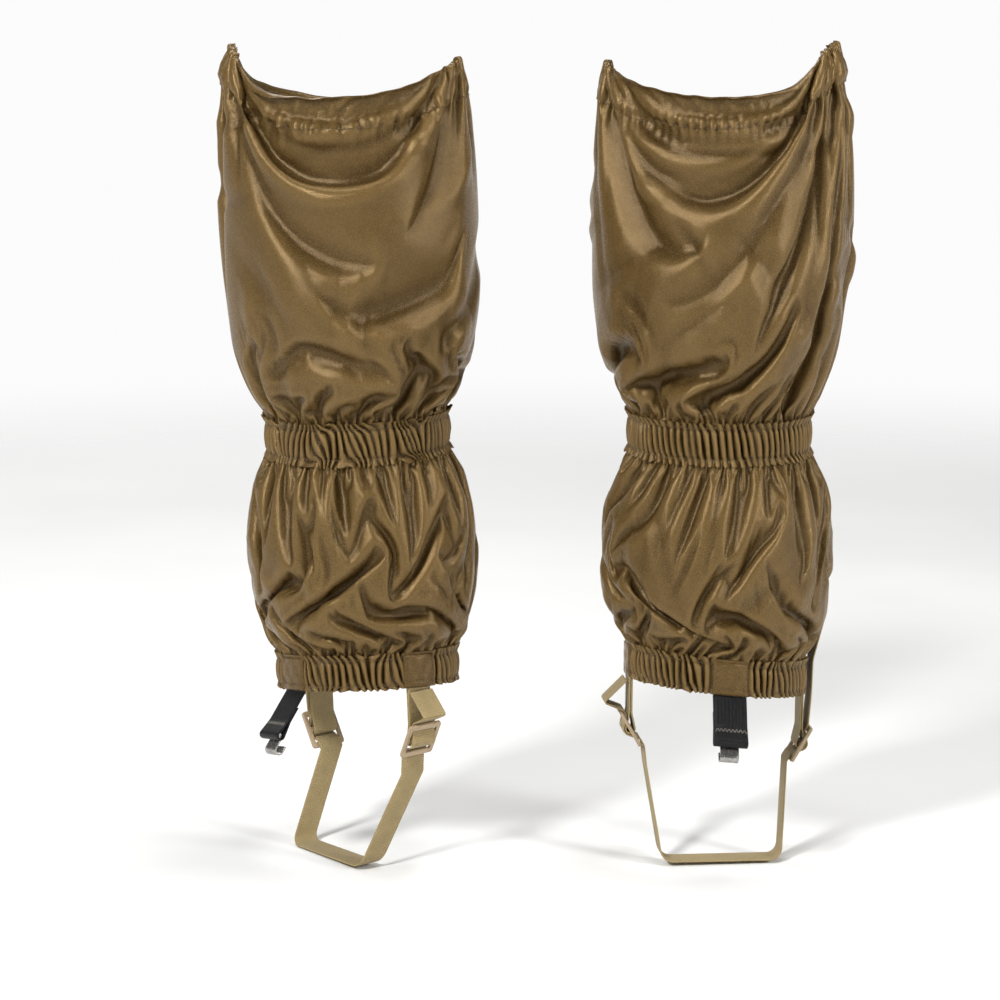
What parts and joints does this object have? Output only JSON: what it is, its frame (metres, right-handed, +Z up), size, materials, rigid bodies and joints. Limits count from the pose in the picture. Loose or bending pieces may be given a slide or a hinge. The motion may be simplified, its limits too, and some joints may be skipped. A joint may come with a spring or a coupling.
{
  "type": "hiking gaiters",
  "caption": "Pull-on cloth gaiters with elastic calf bands and ankle hems, lace hooks and adjustable webbing stirrups, shaped as worn.",
  "frame": {"origin": "midway between the two legs' axes, level with the middle of the calf bands", "axes": "+Z up the legs, toes towards -Y, the wearer's left gaiter towards +X"},
  "size_m": [0.4598, 0.1898, 0.5946],
  "materials": {
    "cloth": "coyote brown coated nylon with a soft sheen",
    "lining": "the same cloth's uncoated inner side",
    "elastic": "off-white woven elastic and cord",
    "webbing": "khaki ribbed polyester webbing",
    "black_webbing": "glossy coated black webbing",
    "plastic": "tan moulded acetal",
    "steel": "dark plated pressed steel"
  },
  "bodies": {
    "right_gaiter": {"right_top_hem": "cloth", "right_upper_sleeve": "cloth", "right_calf_band": "cloth", "right_lower_sleeve": "cloth", "right_ankle_hem": "cloth", "right_front_tab": "cloth", "right_outer_tab": "cloth", "right_inner_tab": "cloth", "right_top_drawcord": "elastic", "right_calf_elastic": "elastic", "right_ankle_elastic": "elastic", "right_calf_lining": "lining", "right_outer_foot_strap": "webbing", "right_inner_foot_strap": "webbing", "right_stirrup_strap": "webbing"},
    "right_lace_strap": {"right_lace_strap": "black_webbing"},
    "right_lace_hook": {"right_lace_hook": "steel"},
    "right_outer_slide": {"right_outer_slide": "plastic", "right_outer_strap_tail": "webbing"},
    "right_inner_slide": {"right_inner_slide": "plastic", "right_inner_strap_tail": "webbing"},
    "left_gaiter": {"left_top_hem": "cloth", "left_upper_sleeve": "cloth", "left_calf_band": "cloth", "left_lower_sleeve": "cloth", "left_ankle_hem": "cloth", "left_front_tab": "cloth", "left_outer_tab": "cloth", "left_inner_tab": "cloth", "left_top_drawcord": "elastic", "left_calf_elastic": "elastic", "left_ankle_elastic": "elastic", "left_calf_lining": "lining", "left_outer_foot_strap": "webbing", "left_inner_foot_strap": "webbing", "left_stirrup_strap": "webbing"},
    "left_lace_strap": {"left_lace_strap": "black_webbing"},
    "left_lace_hook": {"left_lace_hook": "steel"},
    "left_outer_slide": {"left_outer_slide": "plastic", "left_outer_strap_tail": "webbing"},
    "left_inner_slide": {"left_inner_slide": "plastic", "left_inner_strap_tail": "webbing"}
  },
  "joints": [
    {"name": "left_leg_lift", "type": "slide", "parent": "right_gaiter", "child": "left_gaiter", "axis": [0, 0, 1], "range_m": [0, 0.3]},
    {"name": "right_lace_strap_lift", "type": "hinge", "parent": "right_gaiter", "child": "right_lace_strap", "pos_m": [-0.17677, -0.03852, -0.18745], "axis": [-0.5942, 0.7942, -0.1273], "range_deg": [-38, 50], "stiffness_Nm_per_rad": 0.012},
    {"name": "right_lace_hook_swing", "type": "hinge", "parent": "right_lace_strap", "child": "right_lace_hook", "pos_m": [-0.19351, -0.05545, -0.21498], "axis": [-0.5942, 0.7942, -0.1273], "range_deg": [-35, 30]},
    {"name": "right_outer_slide_tilt", "type": "hinge", "parent": "right_gaiter", "child": "right_outer_slide", "pos_m": [-0.16239, 0.05111, -0.23595], "axis": [-0.7981, -0.6018, -0.0293], "range_deg": [0, 25]},
    {"name": "right_inner_slide_tilt", "type": "hinge", "parent": "right_gaiter", "child": "right_inner_slide", "pos_m": [-0.08592, -0.05111, -0.21914], "axis": [0.7981, 0.6018, 0.0293], "range_deg": [0, 25]},
    {"name": "left_lace_strap_lift", "type": "hinge", "parent": "left_gaiter", "child": "left_lace_strap", "pos_m": [0.13789, -0.06365, -0.18574], "axis": [-0.9882, -0.104, 0.1124], "range_deg": [-38, 50], "stiffness_Nm_per_rad": 0.012},
    {"name": "left_lace_hook_swing", "type": "hinge", "parent": "left_lace_strap", "child": "left_lace_hook", "pos_m": [0.13741, -0.08817, -0.21264], "axis": [-0.9882, -0.104, 0.1124], "range_deg": [-35, 30]},
    {"name": "left_outer_slide_tilt", "type": "hinge", "parent": "left_gaiter", "child": "left_outer_slide", "pos_m": [0.19451, 0.00669, -0.23514], "axis": [-0.1045, 0.9945, 0.0007], "range_deg": [0, 25]},
    {"name": "left_inner_slide_tilt", "type": "hinge", "parent": "left_gaiter", "child": "left_inner_slide", "pos_m": [0.06731, -0.00669, -0.22025], "axis": [0.1045, -0.9945, -0.0007], "range_deg": [0, 25]}
  ]
}
